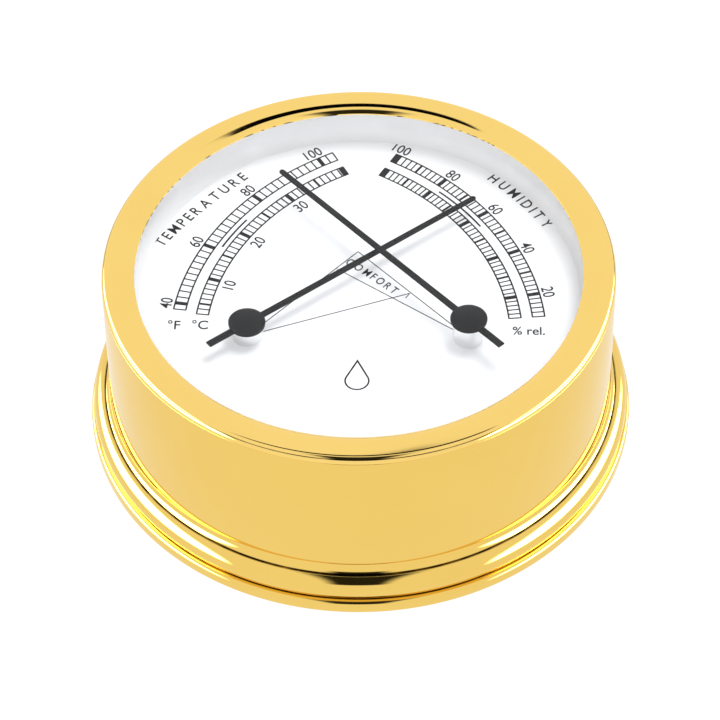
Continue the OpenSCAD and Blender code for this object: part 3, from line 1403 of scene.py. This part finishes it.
@dataclass
class Hand:
    """A bearing post on the dial, with its pointer and the cap over the arbor."""

    frame: dict
    quantity: str
    side: int
    post_top: float
    cap_low: float
    cap_top: float
    dial_top: float = 34.8
    axis_x: float = 23.75
    axis_y: float = -12.1
    post_r: float = 3.3
    cap_r: float = 4.0

    def build(self) -> None:
        """Makes the post and the cap, and dresses the blade and the arbor."""
        axis = (self.side * self.axis_x, self.axis_y)
        edge = 0.6
        low = self.dial_top - 4.2
        post = [
            (0.62, self.post_top),
            *arc((self.post_r - edge, self.post_top - edge), edge, 90, 0, 10),
            (self.post_r, self.dial_top),
            (2.5, self.dial_top),
            (2.5, low),
            (0.62, low),
        ]
        piece = lathe(self.quantity + "_bearing", post, 128, axis)
        seat(piece, "root", "steel", BRIGHT_NICKEL, self.quantity + "_post")
        dome = 12.0
        lean = math.degrees(math.asin((self.cap_r - 0.35) / dome))
        crown = arc((0.0, self.cap_top - dome), dome, 90, 90 - lean, 12)
        shoulder = crown[-1]
        cap = [
            (0.0, self.cap_low + 0.5),
            *crown,
            (self.cap_r - 0.12, shoulder[1] - 0.06),
            (self.cap_r, shoulder[1] - 0.16),
            (self.cap_r, self.cap_low),
            (1.4, self.cap_low),
            (1.4, self.cap_low + 0.5),
        ]
        piece = lathe(self.quantity + "_hub_cap", cap, 128, axis)
        seat(piece, self.quantity + "_hand", "black_satin", BLACK_LACQUER, self.quantity + "_cap")
        dress(self.frame, BLACK_LACQUER, self.quantity + "_pointer")
        dress(self.frame, BRIGHT_NICKEL, self.quantity + "_arbor")


# -------------------------------------------------------------------- movement


@dataclass
class Movement:
    """The plate, pillars, coils and regulators behind the dial."""

    frame: dict

    def build(self) -> None:
        """Dresses every piece of the movement."""
        dress(self.frame, PLATED_STEEL, "movement_plate")
        dress(self.frame, TURNED_BRASS, "movement_pillars", "dial_seat_ring")
        dress(self.frame, BLUED_SCREW, "plate_screws")
        for quantity, strip in (("humidity", HUMIDITY_STRIP), ("temperature", BIMETAL)):
            dress(self.frame, strip, quantity + "_coil")
            dress(
                self.frame,
                TURNED_BRASS,
                *(f"{quantity}_{p}" for p in ("post_nut", "regulator", "anchor_pin", "collet")),
            )
            dress(self.frame, PLATED_STEEL, quantity + "_regulator_clip")


# ------------------------------------------------------------------------ back


@dataclass
class BackPlate:
    """Pressed back cover with its screws and the riveted hanger."""

    frame: dict
    screw_ring: float = 49.6
    head_r: float = 2.3
    head_low: float = 0.15
    head_high: float = 1.0
    rivet_out: float = 9.0
    rivet_up: float = 38.0

    def screw(self) -> bpy.types.Object:
        """One slotted cover screw, as seen from the case's centre.

        Returns:
            The screw, out along +X.
        """
        work = bmesh.new()
        half, slot_top = 0.3, 0.55
        for flip in (1, -1):
            start = math.degrees(math.asin(half / self.head_r))
            outline = [
                (self.screw_ring + x, flip * y)
                for x, y in arc((0, 0), self.head_r, start, 180 - start, 30)
            ]
            if flip < 0:
                outline = outline[::-1]
            prism(work, outline, self.head_low, slot_top)
        disc = [(self.screw_ring + x, y) for x, y in arc((0, 0), self.head_r, 0, 352.5, 47)]
        prism(work, disc, slot_top, self.head_high)
        shank = [(self.screw_ring + x, y) for x, y in arc((0, 0), 1.25, 0, 345, 23)]
        prism(work, shank, self.head_high - 0.01, 4.5)
        bmesh.ops.recalc_face_normals(work, faces=work.faces)
        return from_bmesh("screw", work)

    def rivet(self) -> bpy.types.Object:
        """One hanger rivet, out along +X from the keyhole.

        Returns:
            The rivet.
        """
        turned = rounded(
            [(0.0, 0.4), (1.7, 0.4), (1.7, 1.0), (1.0, 1.0), (1.0, 3.5), (1.7, 3.5), (1.7, 4.1), (0.0, 4.1)],
            0.22,
        )
        profile = [(max(r, 0.0), z) for r, z in turned if r > 0.3 or abs(r) < 1e-6]
        profile = [(0.0, 0.4)] + [p for p in profile if p[0] > 0.3] + [(0.0, 4.1)]
        return lathe("rivet", profile, 40, (self.rivet_out, 0.0))

    def build(self) -> None:
        """Dresses the cover and hanger, and sets the screws and rivets."""
        dress(self.frame, PLATED_STEEL, "back_cover", "hanger_plate")
        steel = BLUED_SCREW.build()
        screws = COPIES.bake("cover_screws", self.screw(), 4, 45, 90, (0.0, 0.0), steel)
        seat(screws, "root", "steel", None, "back_screws")
        rivets = COPIES.bake("hanger_pins", self.rivet(), 2, 0, 180, (0.0, self.rivet_up), steel)
        seat(rivets, "root", "steel", None, "hanger_rivets")


# ---------------------------------------------------------------------- studio


@dataclass(frozen=True)
class Panel:
    """A soft-edged panel of the surroundings, lighter or darker than the rest.

    Spans are in degrees: aside to +X, and round from +Y over the top to -Y.
    """

    aside: float
    half_width: float
    low: float
    high: float
    gain: float
    soft: float = 2.0
    taper: float = 0.0


@dataclass
class Studio:
    """Pale floor, soft light all round with a few panels in it, and the camera."""

    target: Vector
    distance: float = 0.7854
    azimuth: float = 1.785
    elevation: float = 45.94
    roll: float = 0.795
    pitch: float = 1.476
    yaw: float = 0.021
    lens: float = 182.45
    panels: tuple[Panel, ...] = (
        Panel(0.0, 14.0, 50.5, 73.0, 0.0, 1.2, 1.5),
        Panel(0.0, 9.0, 88.0, 150.0, 0.02, 3.0),
        Panel(-70.0, 22.0, 3.0, 177.0, 7.5, 3.0),
        Panel(70.0, 22.0, 3.0, 177.0, 7.5, 3.0),
    )

    def floor(self) -> None:
        """Lays the pale floor, clear from beneath so that the back can be seen."""
        work = bmesh.new()
        bmesh.ops.create_circle(work, cap_ends=True, radius=6000.0, segments=96)
        bmesh.ops.translate(work, verts=work.verts, vec=(0.0, 0.0, -0.05))
        sheet = from_bmesh("studio_floor", work)
        material = bpy.data.materials.new("studio_paper")
        material.use_nodes = True
        shell = material.node_tree.nodes["Principled BSDF"]
        shell.inputs["Base Color"].default_value = (0.15, 0.15, 0.15, 1.0)
        shell.inputs["Roughness"].default_value = 0.9
        shell.inputs["Specular IOR Level"].default_value = 0.0
        shell.inputs["Emission Color"].default_value = (1.0, 1.0, 1.0, 1.0)
        shell.inputs["Emission Strength"].default_value = 0.93
        wires = Wiring(material.node_tree)
        side = wires.add("ShaderNodeNewGeometry")
        clear = wires.add("ShaderNodeBsdfTransparent")
        mix = wires.add("ShaderNodeMixShader")
        wires.join(side.outputs["Backfacing"], mix.inputs[0])
        wires.join(shell.outputs[0], mix.inputs[1])
        wires.join(clear.outputs[0], mix.inputs[2])
        wires.join(mix.outputs[0], material.node_tree.nodes["Material Output"].inputs["Surface"])
        sheet.data.materials.append(material)
        sheet.visible_glossy = False

    def surroundings(self) -> None:
        """Makes the soft light all round; only bright metal sees the panels."""
        world = bpy.data.worlds.new("studio_tent")
        bpy.context.scene.world = world
        world.use_nodes = True
        world.node_tree.nodes.clear()
        wires = Wiring(world.node_tree)
        out = wires.add("ShaderNodeOutputWorld")
        light = wires.add("ShaderNodeBackground", {"Color": (1.0, 1.0, 1.0, 1.0)})
        spot = wires.add("ShaderNodeTexCoord")
        parts = wires.add("ShaderNodeSeparateXYZ")
        wires.join(spot.outputs["Generated"], parts.inputs[0])
        aside = wires.add("ShaderNodeMath", operation="ARCSINE")
        wires.join(parts.outputs["X"], aside.inputs[0])
        over = wires.add("ShaderNodeMath", operation="ARCTAN2")
        wires.join(parts.outputs["Z"], over.inputs[0])
        wires.join(parts.outputs["Y"], over.inputs[1])

        def math_node(operation: str, first: object, second: object) -> bpy.types.NodeSocket:
            """Joins two sockets or values by one sum."""
            node = wires.add("ShaderNodeMath", operation=operation)
            for socket, value in zip(node.inputs, (first, second)):
                if isinstance(value, (int, float)):
                    socket.default_value = value
                else:
                    wires.join(value, socket)
            return node.outputs[0]

        level: object = 1.0
        for panel in self.panels:
            soft = math.radians(panel.soft)
            off = math_node(
                "ABSOLUTE",
                math_node("SUBTRACT", aside.outputs[0], math.radians(panel.aside)),
                0.0,
            )
            low = math_node("MULTIPLY_ADD", off, panel.taper)
            low.node.inputs[2].default_value = math.radians(panel.low)
            inside = (
                math_node("SUBTRACT", math.radians(panel.half_width), off),
                math_node("SUBTRACT", over.outputs[0], low),
                math_node("SUBTRACT", math.radians(panel.high), over.outputs[0]),
            )
            cover: object = 1.0
            for margin in inside:
                edge = wires.add(
                    "ShaderNodeMapRange",
                    {"From Min": -soft, "From Max": soft},
                    interpolation_type="SMOOTHSTEP",
                )
                wires.join(margin, edge.inputs["Value"])
                cover = math_node("MULTIPLY", cover, edge.outputs[0])
            gain = math_node("MULTIPLY_ADD", cover, panel.gain - 1.0)
            gain.node.inputs[2].default_value = 1.0
            level = math_node("MULTIPLY", level, gain)
        path = wires.add("ShaderNodeLightPath")
        seen = wires.add("ShaderNodeMix", data_type="FLOAT")
        seen.inputs[2].default_value = 1.0
        wires.join(path.outputs["Is Glossy Ray"], seen.inputs[0])
        wires.join(level, seen.inputs[3])
        wires.join(seen.outputs[0], light.inputs["Strength"])
        wires.join(light.outputs[0], out.inputs["Surface"])

    def lamp(self, name: str, at: Vector, size: float, power: float) -> None:
        """Hangs a soft square lamp that lights matt surfaces only.

        Args:
            name: The lamp's name.
            at: Its place in metres.
            size: Its side.
            power: Its power in watts.
        """
        data = bpy.data.lights.new(name, "AREA")
        data.size = size
        data.energy = power
        lamp = bpy.data.objects.new(name, data)
        lamp.matrix_world = Matrix.Translation(at) @ (self.target - at).to_track_quat("-Z", "Y").to_matrix().to_4x4()
        lamp.visible_glossy = False
        lamp.visible_transmission = False
        bpy.context.scene.collection.objects.link(lamp)

    def camera(self) -> None:
        """Sets up the camera."""
        turn, rise = math.radians(self.azimuth), math.radians(self.elevation)
        away = Vector((math.sin(turn) * math.cos(rise), -math.cos(turn) * math.cos(rise), math.sin(rise)))
        at = self.target + away * self.distance
        look = (-away).to_track_quat("-Z", "Y").to_matrix().to_4x4()
        small = (
            Matrix.Rotation(math.radians(-self.roll), 4, "Z") @ Matrix.Rotation(
                math.radians(-self.pitch),
                4,
                "X",
            ) @ Matrix.Rotation(math.radians(-self.yaw), 4, "Y")
        )
        data = bpy.data.cameras.new("studio_camera")
        data.sensor_width = 36.0
        data.lens = self.lens
        data.clip_start = 0.01
        data.clip_end = 50.0
        camera = bpy.data.objects.new("studio_camera", data)
        camera.matrix_world = Matrix.Translation(at) @ look @ small
        bpy.context.scene.collection.objects.link(camera)
        bpy.context.scene.camera = camera

    def build(self) -> None:
        """Builds the studio."""
        self.camera()
        self.floor()
        self.surroundings()
        self.lamp("overhead_lamp", Vector((0.25, 0.35, 1.0)), 0.5, 7.0)
        self.lamp("front_lamp", Vector((0.0, -1.1, 0.7)), 0.5, 6.0)
        view = bpy.context.scene.view_settings
        view.view_transform = "Standard"
        view.look = "None"


def main() -> None:
    """Builds the instrument and the studio round it."""
    logging.basicConfig(level=logging.INFO, format="%(name)s: %(message)s")
    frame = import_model()
    Studio(Vector((0.0, 0.0, 0.0445))).build()
    BrassCase().build()
    Glazing(frame).build()
    DialFace(frame).build()
    Hand(frame, "humidity", -1, 38.15, 38.85, 39.9).build()
    Hand(frame, "temperature", 1, 39.95, 40.65, 41.6).build()
    Movement(frame).build()
    BackPlate(frame).build()


if __name__ == "__main__":
    main()
